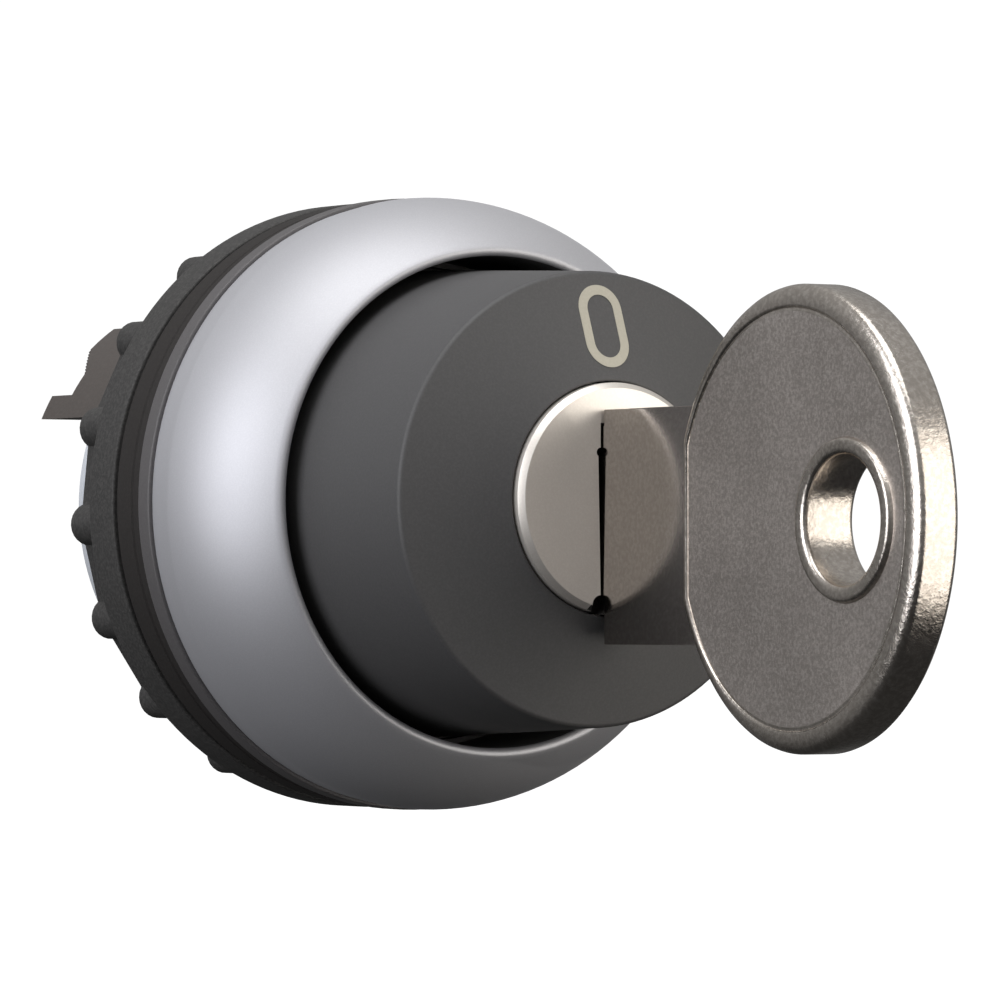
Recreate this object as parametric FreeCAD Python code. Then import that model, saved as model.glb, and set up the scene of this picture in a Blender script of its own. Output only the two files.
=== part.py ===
"""Key-operated selector switch front element for a 22.3 mm panel hole.

Millimetres. The axis of the switch is Y: the key is at -Y, the rear is at +Y, +Z is up.
The origin is on the axis, in the plane of the panel's front face, where the gasket seats.
"""
import FreeCAD, Part
import math
import os

V = FreeCAD.Vector
CENTRE = V(0, 0, 0)
AXIS = V(0, 1, 0)

# ---- driving dimensions -------------------------------------------------------------
RUN = 0.05                 # radial running clearance
SLIP = 0.1                 # axial clearance between pieces that are stacked

THREAD_R = 11.0            # barrel, outside: passes a 22.3 mm hole
THREAD_PITCH = 1.5
THREAD_DEPTH = 0.45
BARREL_WALL = 1.6
BARREL_END = 10.8
WEB_T = 1.4                # wall across the barrel, behind the lock
LUG_W = 3.0                # anti-rotation lug on top of the barrel, for the notch in the panel
LUG_RISE = 1.0             # how far the lug stands above the thread
LUG_END = 1.2
GASKET_T = 2.55
GASKET_W = 3.85            # from the thread to the gasket's edge
FLANGE_T = 1.05
FLANGE_W = 3.95            # from the thread to the flange's edge

BEZEL_INSET = 0.05         # the bezel's widest part is this much inside the flange
BEZEL_REAR_INSET = 0.2
BEZEL_GAP = 0.4            # from the lock head to the bezel's lip
BEZEL_DEPTH = 7.75
BEZEL_WEB = 1.0
BEZEL_ROUND = 0.35         # radius of the lip's round

HEAD_RISE = 0.4            # the lock head's base is this much wider than the thread
HEAD_TAPER = 0.68          # from the base to the crease
HEAD_LENGTH = 16.1         # from the flange to the crease
HEAD_CONE_RISE = 1.65      # from the crease to the plug
NECK_LENGTH = 5.3          # the barrel's neck inside the head
HEAD_LAP = 0.8             # how far the head stops short of the flange
MARK_HEIGHT = 3.9
MARK_WIDTH = 2.35
MARK_STROKE = 0.46
MARK_R = 8.1
MARK_LEAN = 3.0            # the figures lean this much to the left, in degrees
MARK_PROUD = 0.03
MARK_SUNK = 0.25

TURN = 60.0                # from position 0 to position I, clockwise seen from the front

PLUG_FACE_R = 5.43
PLUG_FACE_PROUD = 0.5
PLUG_CHAMFER = 0.25
PLUG_R = 5.0
PLUG_TAIL = 0.6            # how far the plug reaches behind the barrel's web
CLIP_R = 4.5
TANG = 5.0                 # square drive at the rear of the plug
TANG_LENGTH = 4.0
SHELL_R = 8.0
FRONT_WALL = 2.35
WAFERS = 5
WAFER_T = 0.8
WAFER_W = 4.0
WAFER_H = 8.9
WAFER_PITCH = 2.5
WAFER_THROW = 0.8
EAR_END = 3.4              # the ear on each wafer that its spring pushes on
EAR_T = 0.8
EAR_SPRING_TOP = 2.6
SCREW_R = 0.8              # screws that hold the lock
SCREW_ANGLES = (30, 150)

KEY_SHANK_T = 1.9
KEY_HEAD_T = 2.4
KEY_SHANK_TOP = 4.14
KEY_SHANK_BOTTOM = -6.79
KEY_SHANK_LENGTH = 6.9
KEY_HEAD_Y = 9.65          # semi-axis of the oval head along the key
KEY_HEAD_Z = 10.49         # semi-axis across the key
KEY_HEAD_DROP = 1.14       # the head's centre is this far below the axis
KEY_HEAD_REACH = 8.93      # from the head's straight edge to its centre
KEY_HOLE_R = 2.9
KEY_RIM_R = 3.6
KEY_RIM_PROUD = 0.2
KEY_EDGE_R = 0.5
KEY_HOLE_OFFSET = 4.0
KEY_BLADE_TOP = 2.8
KEY_BLADE_BOTTOM = -3.2
KEY_BLADE_LENGTH = 17.4
KEY_MOUTH = 1.0            # the first step of the blade, wide as the keyway's mouth
KEY_MOUTH_TOP = 3.4
KEY_MOUTH_BOTTOM = -4.55
KEY_PLAY = 0.08            # room on each side of the blade
NOTCH_DEPTH = 0.9          # two round notches in the lock's face, beside the keyway
FOOT_NOTCH_R = 0.45
FOOT_NOTCH_Z = -4.95
SIDE_NOTCH_R = 0.22
SIDE_NOTCH_Z = 2.15
SEAL_GROOVE_Y = 0.7        # groove for the plug's seal, behind the head's front edge
SEAL_GROOVE_W = 0.6
SEAL_GROOVE_DEPTH = 0.48

ROTOR_R = 7.8
STOP_LUG_HALF = 8.0        # half the angle of the rotor's stop lug, in degrees
STROKE = 4.0               # how far the cam pushes a plunger over the whole turn
PLUNGER_X = 5.5
PLUNGER_R = 1.6
PLUNGER_GAP = 0.15
PLUNGER_SHOULDER_R = 2.4
PLUNGER_SHOULDER_T = 0.6
SCREW_BORE_R = 1.25        # the screw that holds the cam
SCREW_HEAD_R = 2.2

COLLAR_FRONT = 7.2
COLLAR_BORE_R = 8.3
COLLAR_FLOOR_Y = 10.2
COLLAR_FLOOR_T = 1.2
COLLAR_END = 13.5
CLAW_END = 16.4
CLAW_NOTCH = 14.3
CLAW_TOOTH = 15.9
CLAW_START = 24.0          # angles of the upper left claw, measured up from -X
TONGUE_TO = 31.0
NOTCH_TO = 38.0
CLAW_SLOPE_TO = 47.0
CLAW_TO = 56.0

WASHER_Y = 0.03
WASHER_T = 0.57
WASHER_W = 2.2             # width of the washer's ring, outside the thread
WASHER_NOTCHES = 24
NUT_Y = 0.05
NUT_T = 4.95
NUT_WALL = 2.95            # from the thread to a flat between two lobes
NUT_FLANGE_W = 3.9         # from the thread to the edge of the nut's flange
NUT_FLANGE_T = 2.45
NUT_LOBES = 18
LOBE_R = 1.05
LOBE_RISE = 0.65           # how far a lobe stands above the flats
LOBE_FIRST = 184.2         # angle of the first lobe, from +X towards +Z

# ---- places that follow from them ---------------------------------------------------
FLANGE_REAR = -GASKET_T
FLANGE_FRONT = FLANGE_REAR - FLANGE_T
CREASE_Y = FLANGE_FRONT - HEAD_LENGTH
HEAD_FRONT = CREASE_Y - HEAD_CONE_RISE
PLUG_FACE = HEAD_FRONT - PLUG_FACE_PROUD
HEAD_WALL = HEAD_FRONT + FRONT_WALL
SHELL_FRONT = HEAD_WALL + SLIP
WEB_REAR = FLANGE_FRONT + WEB_T
PLUG_REAR = WEB_REAR + PLUG_TAIL
TANG_END = PLUG_REAR + TANG_LENGTH
NECK_R = THREAD_R - 0.4
BARREL_BORE_R = THREAD_R - BARREL_WALL
HEAD_BASE_R = THREAD_R + HEAD_RISE
HEAD_CREASE_R = HEAD_BASE_R - HEAD_TAPER
LUG_R = THREAD_R + LUG_RISE
GASKET_R = THREAD_R + GASKET_W
FLANGE_R = THREAD_R + FLANGE_W
BEZEL_MAX_R = FLANGE_R - BEZEL_INSET
BEZEL_REAR_R = FLANGE_R - BEZEL_REAR_INSET
BEZEL_LIP_R = HEAD_BASE_R + BEZEL_GAP
WASHER_R = THREAD_R + WASHER_W
NUT_FLAT = THREAD_R + NUT_WALL
NUT_FLANGE_R = THREAD_R + NUT_FLANGE_W
LOBE_TIP_R = NUT_FLAT + LOBE_RISE
NECK_END = FLANGE_FRONT - NECK_LENGTH
PLUG_BORE_R = PLUG_FACE_R + 0.07
KEY_SHOULDER = PLUG_FACE - 0.15
KEY_EDGE = KEY_SHOULDER - KEY_SHANK_LENGTH
KEY_CENTRE = KEY_EDGE - KEY_HEAD_REACH
ROTOR_FRONT = WEB_REAR + 1.2
CAM_SLOPE = STROKE / (2 * PLUNGER_X * math.sin(math.radians(TURN / 2)))
CAM_MID = ROTOR_FRONT + 4.4
CAM_HALF_Z = 4.6


# ---- shapes -------------------------------------------------------------------------
def tube(inner, outer, y0, y1):
    """A ring round the axis."""
    ring = Part.makeCylinder(outer, y1 - y0, V(0, y0, 0), AXIS)
    return ring.cut(Part.makeCylinder(inner, y1 - y0, V(0, y0, 0), AXIS))


def rod(radius, y0, y1, x=0.0, z=0.0):
    """A round bar along Y."""
    return Part.makeCylinder(radius, y1 - y0, V(x, y0, z), AXIS)


def block(x0, x1, y0, y1, z0, z1):
    """A box from its two corners."""
    return Part.makeBox(x1 - x0, y1 - y0, z1 - z0, V(x0, y0, z0))


def turned(edges_or_points):
    """A closed (radius, y) outline turned round the axis."""
    if isinstance(edges_or_points[0], tuple):
        corners = [V(r, y, 0) for r, y in edges_or_points]
        wire = Part.makePolygon(corners + corners[:1])
    else:
        wire = Part.Wire(edges_or_points)
    return Part.Face(wire).revolve(CENTRE, AXIS, 360)


def line(a, b):
    return Part.LineSegment(V(a[0], a[1], 0), V(b[0], b[1], 0)).toShape()


def arc(a, middle, b):
    return Part.Arc(V(a[0], a[1], 0), V(middle[0], middle[1], 0), V(b[0], b[1], 0)).toShape()


def polar(radius, degrees, y):
    """A point round the axis; the angle goes from +X towards +Z."""
    angle = math.radians(degrees)
    return V(radius * math.cos(angle), y, radius * math.sin(angle))


def sector(r0, r1, y0, y1, start, end):
    """A piece of a ring between two angles."""
    middle = (start + end) / 2
    outer = Part.Arc(polar(r1, start, y0), polar(r1, middle, y0), polar(r1, end, y0)).toShape()
    inner = Part.Arc(polar(r0, end, y0), polar(r0, middle, y0), polar(r0, start, y0)).toShape()
    side_a = Part.makeLine(polar(r1, end, y0), polar(r0, end, y0))
    side_b = Part.makeLine(polar(r0, start, y0), polar(r1, start, y0))
    face = Part.Face(Part.Wire([outer, side_a, inner, side_b]))
    return face.extrude(V(0, y1 - y0, 0))


def spun(shape, degrees):
    """A copy turned round the axis, clockwise seen from the front."""
    copy = shape.copy()
    copy.rotate(CENTRE, AXIS, degrees)
    return copy


def coil(radius, wire_r, length, turns):
    """A compression spring standing on the origin along +Z; its wire has eight flats."""
    helix = Part.makeHelix(length / turns, length, radius)
    slope = math.atan2(length / turns, 2 * math.pi * radius)
    across = V(1, 0, 0)
    up = V(0, -math.sin(slope), math.cos(slope))
    corners = [V(radius, 0, 0) + across * (wire_r * math.cos(math.pi * flat / 4))
               + up * (wire_r * math.sin(math.pi * flat / 4)) for flat in range(8)]
    section = Part.makePolygon(corners + corners[:1])
    return Part.Wire(helix).makePipeShell([section], True, True)


def coil_along_y(radius, wire_r, y0, y1, turns, x):
    """A compression spring between two stations on a line parallel to the axis."""
    spring = coil(radius, wire_r, y1 - y0, turns)
    spring.rotate(CENTRE, V(1, 0, 0), -90)
    spring.translate(V(x, y0, 0))
    return spring


# ---- outside pieces -----------------------------------------------------------------
def bezel_ring():
    """Domed front ring: a shell with a rounded lip and a flat web that clamps on the flange."""
    front = FLANGE_FRONT - BEZEL_DEPTH
    rear_edge = (BEZEL_REAR_R, FLANGE_FRONT)
    shoulder = (BEZEL_MAX_R, FLANGE_FRONT - 1.6)
    crown = (BEZEL_MAX_R - 0.75, FLANGE_FRONT - 5.0)
    lip_out = (BEZEL_LIP_R + BEZEL_ROUND, front)
    lip_top = (BEZEL_LIP_R + 0.1, front - 0.04)
    lip_in = (BEZEL_LIP_R, front + 0.2)
    web_front = FLANGE_FRONT - BEZEL_WEB
    web_r = HEAD_BASE_R + 0.15
    step = (BEZEL_LIP_R, web_front)
    return turned([
        line(rear_edge, shoulder),
        arc(shoulder, crown, lip_out),
        arc(lip_out, lip_top, lip_in),
        line(lip_in, step),
        line(step, (web_r, web_front)),
        line((web_r, web_front), (web_r, FLANGE_FRONT)),
        line((web_r, FLANGE_FRONT), rear_edge),
    ])


def mounting_flange():
    """Flat ring between the bezel and the gasket, with a bevelled rim."""
    inner = NECK_R + RUN
    return turned([
        (inner, FLANGE_FRONT), (FLANGE_R - 0.15, FLANGE_FRONT), (FLANGE_R, FLANGE_FRONT + 0.15),
        (FLANGE_R, FLANGE_REAR - 0.1), (FLANGE_R - 0.1, FLANGE_REAR), (inner, FLANGE_REAR),
    ])


def panel_gasket():
    """Rubber ring that seals on the panel, with a shallow groove round its rim."""
    inner = THREAD_R + RUN
    groove = FLANGE_REAR + 0.9
    lug_slot = block(-LUG_W / 2 - SLIP, LUG_W / 2 + SLIP, FLANGE_REAR, 0, 0, LUG_R + SLIP)
    return turned([
        (inner, FLANGE_REAR), (GASKET_R, FLANGE_REAR), (GASKET_R, groove),
        (GASKET_R - 0.12, groove + 0.1), (GASKET_R, groove + 0.2), (GASKET_R, -0.25),
        (GASKET_R - 0.25, 0), (inner, 0),
    ]).cut(lug_slot)


def threaded_barrel():
    """Barrel with the ring nut's thread, a neck for the lock head and a web for the lock."""
    thread = []
    y = NUT_Y + 0.4
    while y + THREAD_PITCH < BARREL_END - 0.3:
        thread += [(THREAD_R, y), (THREAD_R - THREAD_DEPTH, y + THREAD_PITCH * 0.4),
                   (THREAD_R - THREAD_DEPTH, y + THREAD_PITCH * 0.5), (THREAD_R, y + THREAD_PITCH * 0.9)]
        y += THREAD_PITCH
    shell_seat = SHELL_R + RUN
    body = turned([
        (PLUG_R + 0.15, FLANGE_FRONT), (shell_seat, FLANGE_FRONT), (shell_seat, NECK_END),
        (NECK_R, NECK_END), (NECK_R, NECK_END + 0.6), (NECK_R - 0.5, NECK_END + 0.6),
        (NECK_R - 0.5, NECK_END + 1.6), (NECK_R, NECK_END + 1.6), (NECK_R, FLANGE_REAR),
        (THREAD_R, FLANGE_REAR)] + thread + [
        (THREAD_R, BARREL_END - 0.2), (THREAD_R - 0.2, BARREL_END), (BARREL_BORE_R, BARREL_END),
        (BARREL_BORE_R, WEB_REAR), (PLUG_R + 0.15, WEB_REAR),
    ])
    lug = block(-LUG_W / 2, LUG_W / 2, FLANGE_REAR + SLIP, LUG_END, THREAD_R - 0.3, LUG_R)
    stops = [sector(ROTOR_R + 0.25, BARREL_BORE_R + 0.2, WEB_REAR - 0.1, ROTOR_FRONT + 2.4, *span)
             for span in stop_spans()]
    body = body.fuse([lug] + stops).removeSplitter()
    return body.cut(head_screws())


def stop_spans():
    """Angles of the two stops that end the turn: the lug swings half the turn each side of -Z."""
    near = TURN / 2 + STOP_LUG_HALF + 0.4
    return [(270 - near - 10, 270 - near), (270 + near, 270 + near + 10)]


def lock_head():
    """Fixed head round the lock: a slightly tapered side, a crease, and a low cone."""
    seat = NECK_R + RUN
    bevel = 0.12
    shell_bore = SHELL_R + RUN
    body = turned([
        (PLUG_BORE_R, HEAD_FRONT), (HEAD_CREASE_R - bevel, CREASE_Y - bevel / 3),
        (HEAD_CREASE_R, CREASE_Y + bevel), (HEAD_BASE_R, FLANGE_FRONT - HEAD_LAP),
        (seat, FLANGE_FRONT - HEAD_LAP), (seat, NECK_END - SLIP), (shell_bore, NECK_END - SLIP),
        (shell_bore, HEAD_WALL), (PLUG_BORE_R, HEAD_WALL),
    ])
    return body.cut(position_marks())


def cone_layer(proud, sunk):
    """A thin layer that follows the cone of the lock head."""
    return turned([
        (PLUG_BORE_R, HEAD_FRONT - proud), (HEAD_CREASE_R, CREASE_Y - proud),
        (HEAD_CREASE_R, CREASE_Y + sunk), (PLUG_BORE_R, HEAD_FRONT + sunk),
    ])


def stadium(width, height, depth):
    """An upright slot shape centred on the position-mark radius."""
    half = width / 2
    straight = height - width
    low = MARK_R - straight / 2
    parts = [block(-half, half, HEAD_FRONT - 1, HEAD_FRONT - 1 + depth, low, low + straight)]
    parts += [rod(half, HEAD_FRONT - 1, HEAD_FRONT - 1 + depth, 0, z) for z in (low, low + straight)]
    return parts[0].fuse(parts[1:])


def position_marks():
    """The inlaid figures 0, on top, and I, one turn of the key clockwise."""
    depth = 6.0
    zero = stadium(MARK_WIDTH, MARK_HEIGHT, depth)
    zero = zero.cut(stadium(MARK_WIDTH - 2 * MARK_STROKE, MARK_HEIGHT - 2 * MARK_STROKE, depth))
    bar = stadium(MARK_STROKE, MARK_HEIGHT, depth)
    for figure in (zero, bar):
        figure.rotate(V(0, 0, MARK_R), AXIS, -MARK_LEAN)
    layer = cone_layer(MARK_PROUD, MARK_SUNK)
    return Part.makeCompound([layer.common(zero), layer.common(spun(bar, TURN))])


def coupling_collar():
    """Plastic insert in the barrel: a floor for the plungers and claws for the contact carrier."""
    skirt = tube(COLLAR_BORE_R, BARREL_BORE_R - RUN, COLLAR_FRONT, COLLAR_END)
    floor = rod(COLLAR_BORE_R + 0.2, COLLAR_FLOOR_Y, COLLAR_FLOOR_Y + COLLAR_FLOOR_T)
    claws = [spun(claw(), turn) for turn in (0, 180)]
    body = skirt.fuse([floor] + claws).removeSplitter()
    holes = [rod(PLUNGER_R + RUN, COLLAR_FLOOR_Y - 1, COLLAR_END, side * PLUNGER_X) for side in (-1, 1)]
    return body.cut(holes[0].fuse(holes[1]))


def claw():
    """A hook of the bayonet: a tongue, a notch and a second tooth with a sloping flank."""
    front = BARREL_END + SLIP / 2
    inner = COLLAR_BORE_R + 0.2
    tongue = sector(inner, THREAD_R, front, CLAW_END, 180 - TONGUE_TO, 180 - CLAW_START)
    base = sector(inner, THREAD_R, front, CLAW_NOTCH, 180 - CLAW_TO, 180 - TONGUE_TO)
    tooth = sector(inner, THREAD_R, CLAW_NOTCH, CLAW_TOOTH, 180 - CLAW_TO, 180 - CLAW_SLOPE_TO)
    steps = 8
    rise = (CLAW_TOOTH - CLAW_NOTCH) / steps
    sweep = (CLAW_SLOPE_TO - NOTCH_TO) / steps
    flank = [sector(inner, THREAD_R, CLAW_NOTCH, CLAW_NOTCH + rise * (step + 0.5),
                    180 - NOTCH_TO - sweep * (step + 1), 180 - NOTCH_TO - sweep * step)
             for step in range(steps)]
    level = THREAD_R * math.sin(math.radians(CLAW_START))
    above = block(-THREAD_R - 1, 0, front - 1, CLAW_END + 1, level, THREAD_R + 1)
    return base.fuse([tongue, tooth] + flank).common(above)


def ring_nut():
    """Plastic nut that clamps the switch from behind the panel: a round flange, flats, grip lobes."""
    rear = NUT_Y + NUT_T
    flange_rear = NUT_Y + NUT_FLANGE_T
    edge = 0.15
    body = turned([
        (THREAD_R, NUT_Y), (NUT_FLANGE_R - edge, NUT_Y), (NUT_FLANGE_R, NUT_Y + edge),
        (NUT_FLANGE_R, flange_rear - edge), (NUT_FLANGE_R - edge, flange_rear), (THREAD_R, flange_rear),
    ])
    step = 360 / NUT_LOBES
    corner_r = NUT_FLAT / math.cos(math.radians(step / 2))
    corners = [polar(corner_r, LOBE_FIRST + number * step, flange_rear - edge)
               for number in range(NUT_LOBES)]
    flats = Part.Face(Part.makePolygon(corners + corners[:1])).extrude(V(0, rear - flange_rear + edge, 0))
    lobes = []
    for number in range(NUT_LOBES):
        place = polar(LOBE_TIP_R - LOBE_R, LOBE_FIRST + number * step, 0)
        lobes.append(rod(LOBE_R, flange_rear - edge, rear, place.x, place.z))
    body = body.fuse([flats] + lobes).removeSplitter()
    washer_seat = rod(WASHER_R + SLIP, NUT_Y - 1, WASHER_Y + WASHER_T + RUN)
    lug_room = rod(LUG_R + SLIP, NUT_Y - 1, LUG_END + SLIP)
    return body.cut(rod(THREAD_R + RUN, NUT_Y - 1, rear + 1).fuse([washer_seat, lug_room]))


def lock_washer():
    """Serrated steel washer in the nut's face, notched inside for the barrel's lug."""
    body = tube(THREAD_R + SLIP, WASHER_R, WASHER_Y, WASHER_Y + WASHER_T)
    cuts = [block(-LUG_W / 2 - SLIP, LUG_W / 2 + SLIP, WASHER_Y - 1, WASHER_Y + 2, 0, LUG_R + SLIP)]
    for number in range(WASHER_NOTCHES):
        notch = block(WASHER_R - 0.5, WASHER_R + 1, WASHER_Y - 1, WASHER_Y + 2, -0.3, 0.3)
        cuts.append(spun(notch, number * 360 / WASHER_NOTCHES))
    return body.cut(cuts[0].fuse(cuts[1:]))


# ---- the lock -----------------------------------------------------------------------
def wafer_stations():
    """Middle of each wafer along the axis, front to back."""
    first = SHELL_FRONT + 1.8
    return [first + number * WAFER_PITCH for number in range(WAFERS)]


def lock_shell():
    """Cast cylinder of the lock: locking grooves for the wafers at both positions of the key."""
    body = tube(PLUG_R + RUN, SHELL_R, SHELL_FRONT, FLANGE_FRONT - SLIP / 2)
    stations = wafer_stations()
    half = WAFER_W / 2 + 0.15
    reach = WAFER_H / 2 + WAFER_THROW + 0.35
    groove = block(-half, half, stations[0] - WAFER_T, stations[-1] + WAFER_T, -reach, 0)
    body = body.cut(groove.fuse(spun(groove, TURN)))
    return body.cut(head_screws())


def head_screws():
    """Two countersunk screws that hold the lock to the barrel's web."""
    centre_r = (SHELL_R + PLUG_R) / 2
    screws = []
    for degrees in SCREW_ANGLES:
        place = polar(centre_r, degrees, 0)
        shank = rod(SCREW_R, FLANGE_FRONT - 5, WEB_REAR - 0.05, place.x, place.z)
        head = Part.makeCone(SCREW_R, SCREW_R + 0.6, 0.7, V(place.x, WEB_REAR - 0.75, place.z), AXIS)
        screws.append(shank.fuse(head))
    return Part.makeCompound(screws)


def head_seal():
    """O-ring between the lock head and the barrel's neck."""
    return Part.makeTorus(NECK_R - 0.23, 0.24, V(0, NECK_END + 1.1, 0), AXIS)


def plug_seal():
    """O-ring in the plug's rim."""
    middle = HEAD_FRONT + SEAL_GROOVE_Y + SEAL_GROOVE_W / 2
    return Part.makeTorus(PLUG_FACE_R - SEAL_GROOVE_DEPTH / 2, 0.22, V(0, middle, 0), AXIS)


def keyway(x_half, top, bottom, y0, y1):
    return block(-x_half, x_half, y0, y1, bottom, top)


def lock_plug():
    """Turning core of the lock: face, keyway, wafer slots, clip groove and drive tang."""
    groove = HEAD_FRONT + SEAL_GROOVE_Y
    body = turned([
        (0, PLUG_FACE), (PLUG_FACE_R - PLUG_CHAMFER, PLUG_FACE),
        (PLUG_FACE_R, PLUG_FACE + PLUG_CHAMFER), (PLUG_FACE_R, groove),
        (PLUG_FACE_R - SEAL_GROOVE_DEPTH, groove), (PLUG_FACE_R - SEAL_GROOVE_DEPTH, groove + SEAL_GROOVE_W),
        (PLUG_FACE_R, groove + SEAL_GROOVE_W), (PLUG_FACE_R, HEAD_WALL),
        (PLUG_R, HEAD_WALL), (PLUG_R, WEB_REAR + 0.1), (CLIP_R, WEB_REAR + 0.1),
        (CLIP_R, WEB_REAR + 0.5), (PLUG_R, WEB_REAR + 0.5), (PLUG_R, PLUG_REAR), (0, PLUG_REAR),
    ])
    tang = block(-TANG / 2, TANG / 2, PLUG_REAR - 0.1, TANG_END, -TANG / 2, TANG / 2)
    body = body.fuse(tang)
    blade_half = KEY_SHANK_T / 2 + KEY_PLAY
    mouth = keyway(blade_half, KEY_MOUTH_TOP + 0.12, KEY_MOUTH_BOTTOM - 0.12,
                   PLUG_FACE - 1, KEY_SHOULDER + KEY_MOUTH + 0.2)
    channel = keyway(blade_half, KEY_BLADE_TOP + 0.12, KEY_BLADE_BOTTOM - 0.12,
                     PLUG_FACE - 1, KEY_SHOULDER + KEY_BLADE_LENGTH + 0.4)
    foot_notch = rod(FOOT_NOTCH_R, PLUG_FACE - 1, PLUG_FACE + NOTCH_DEPTH, -blade_half, FOOT_NOTCH_Z)
    side_notch = rod(SIDE_NOTCH_R, PLUG_FACE - 1, PLUG_FACE + NOTCH_DEPTH, -blade_half, SIDE_NOTCH_Z)
    cuts = [channel, foot_notch, side_notch]
    for y in wafer_stations():
        half_t = WAFER_T / 2 + 0.06
        half_w = WAFER_W / 2 + 0.06
        cuts.append(block(-half_w, half_w, y - half_t, y + half_t, -PLUG_R - 1, PLUG_R + 1))
        cuts.append(block(0, EAR_END + 0.1, y - half_t, y + half_t, -EAR_T - WAFER_THROW, EAR_SPRING_TOP))
    body = body.cut(mouth.fuse(cuts))
    return body.cut(rotor_screw())


def plug_circlip():
    """Open ring that keeps the plug in the lock."""
    ring = tube(CLIP_R + 0.02, PLUG_R + 0.75, WEB_REAR + 0.12, WEB_REAR + 0.48)
    return ring.cut(sector(0.5, PLUG_R + 2, WEB_REAR, WEB_REAR + 1, 75, 105))


def wafer(y):
    """Locking plate with a window for the blade and an ear for its spring."""
    plate = block(-WAFER_W / 2, WAFER_W / 2, y - WAFER_T / 2, y + WAFER_T / 2, -WAFER_H / 2, WAFER_H / 2)
    ear = block(WAFER_W / 2 - 0.1, EAR_END, y - WAFER_T / 2, y + WAFER_T / 2, -EAR_T, 0)
    window = keyway(KEY_SHANK_T / 2 + 0.12, KEY_BLADE_TOP + 0.7, KEY_BLADE_BOTTOM - 0.6, y - 1, y + 1)
    return plate.fuse(ear).cut(window).removeSplitter()


def wafer_springs():
    """Small coil spring over each wafer's ear."""
    springs = []
    for y in wafer_stations():
        spring = coil(0.28, 0.07, EAR_SPRING_TOP - 0.35, 5)
        spring.translate(V((WAFER_W / 2 + EAR_END) / 2, y, 0.15))
        springs.append(spring)
    return Part.makeCompound(springs)


# ---- the key ------------------------------------------------------------------------
def key():
    """Flat key: blade, wide shank with a shoulder, and an oval head with a rolled eyelet."""
    half = KEY_SHANK_T / 2
    tip = KEY_SHOULDER + KEY_BLADE_LENGTH
    blade_outline = [
        (KEY_SHOULDER, KEY_BLADE_TOP), (tip - 1.6, KEY_BLADE_TOP), (tip, KEY_BLADE_TOP - 2.2),
        (tip, KEY_BLADE_BOTTOM + 2.2), (tip - 1.6, KEY_BLADE_BOTTOM), (KEY_SHOULDER, KEY_BLADE_BOTTOM),
    ]
    corners = [V(-half, y, z) for y, z in blade_outline]
    blade = Part.Face(Part.makePolygon(corners + corners[:1])).extrude(V(KEY_SHANK_T, 0, 0))
    for y in wafer_stations():
        depth = 0.35 + 0.2 * (round(y * 7) % 3)
        tooth = [V(-half - 1, y - 0.8, KEY_BLADE_TOP + 0.1), V(-half - 1, y - 0.2, KEY_BLADE_TOP - depth),
                 V(-half - 1, y + 0.2, KEY_BLADE_TOP - depth), V(-half - 1, y + 0.8, KEY_BLADE_TOP + 0.1)]
        blade = blade.cut(Part.Face(Part.makePolygon(tooth + tooth[:1])).extrude(V(KEY_SHANK_T + 2, 0, 0)))
    mouth = keyway(half, KEY_MOUTH_TOP, KEY_MOUTH_BOTTOM, KEY_SHOULDER - 0.1, KEY_SHOULDER + KEY_MOUTH)
    shank = keyway(half, KEY_SHANK_TOP, KEY_SHANK_BOTTOM, KEY_EDGE - 1, KEY_SHOULDER)
    return key_head().fuse([shank, mouth, blade]).removeSplitter()


def key_head():
    """Oval plate with rounded edges, cut straight towards the lock, and the eyelet's rim."""
    half = KEY_HEAD_T / 2
    centre = V(-half, KEY_CENTRE, -KEY_HEAD_DROP)
    oval = Part.Ellipse(centre + V(0, 0, KEY_HEAD_Z), centre + V(0, KEY_HEAD_Y, 0), centre).toShape()
    plate = Part.Face(Part.Wire(oval)).extrude(V(KEY_HEAD_T, 0, 0))
    beyond = KEY_HEAD_Z + 5
    plate = plate.cut(block(-5, 5, KEY_EDGE, KEY_EDGE + 20, -beyond, beyond))
    outline = [edge for edge in plate.Edges if edge.BoundBox.XLength < 0.01]
    plate = plate.makeFillet(KEY_EDGE_R, outline)
    eye = V(0, KEY_CENTRE - KEY_HOLE_OFFSET, -KEY_HEAD_DROP - 0.09)
    reach = half + KEY_RIM_PROUD
    rim = Part.makeCylinder(KEY_RIM_R, 2 * reach, eye - V(reach, 0, 0), V(1, 0, 0))
    rim = rim.cut(Part.makeCylinder(KEY_HOLE_R, 2 * reach, eye - V(reach, 0, 0), V(1, 0, 0)))
    rim = rim.makeFillet(KEY_RIM_PROUD * 0.9, rim_edges(rim, reach))
    hole = Part.makeCylinder(KEY_HOLE_R, 2 * reach, eye - V(reach, 0, 0), V(1, 0, 0))
    return plate.cut(hole).fuse(rim)


def rim_edges(rim, reach):
    """The circular edges at both ends of the eyelet's rim."""
    return [edge for edge in rim.Edges
            if edge.BoundBox.XLength < 0.01 and abs(abs(edge.BoundBox.Center.x) - reach) < 0.01]


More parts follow.
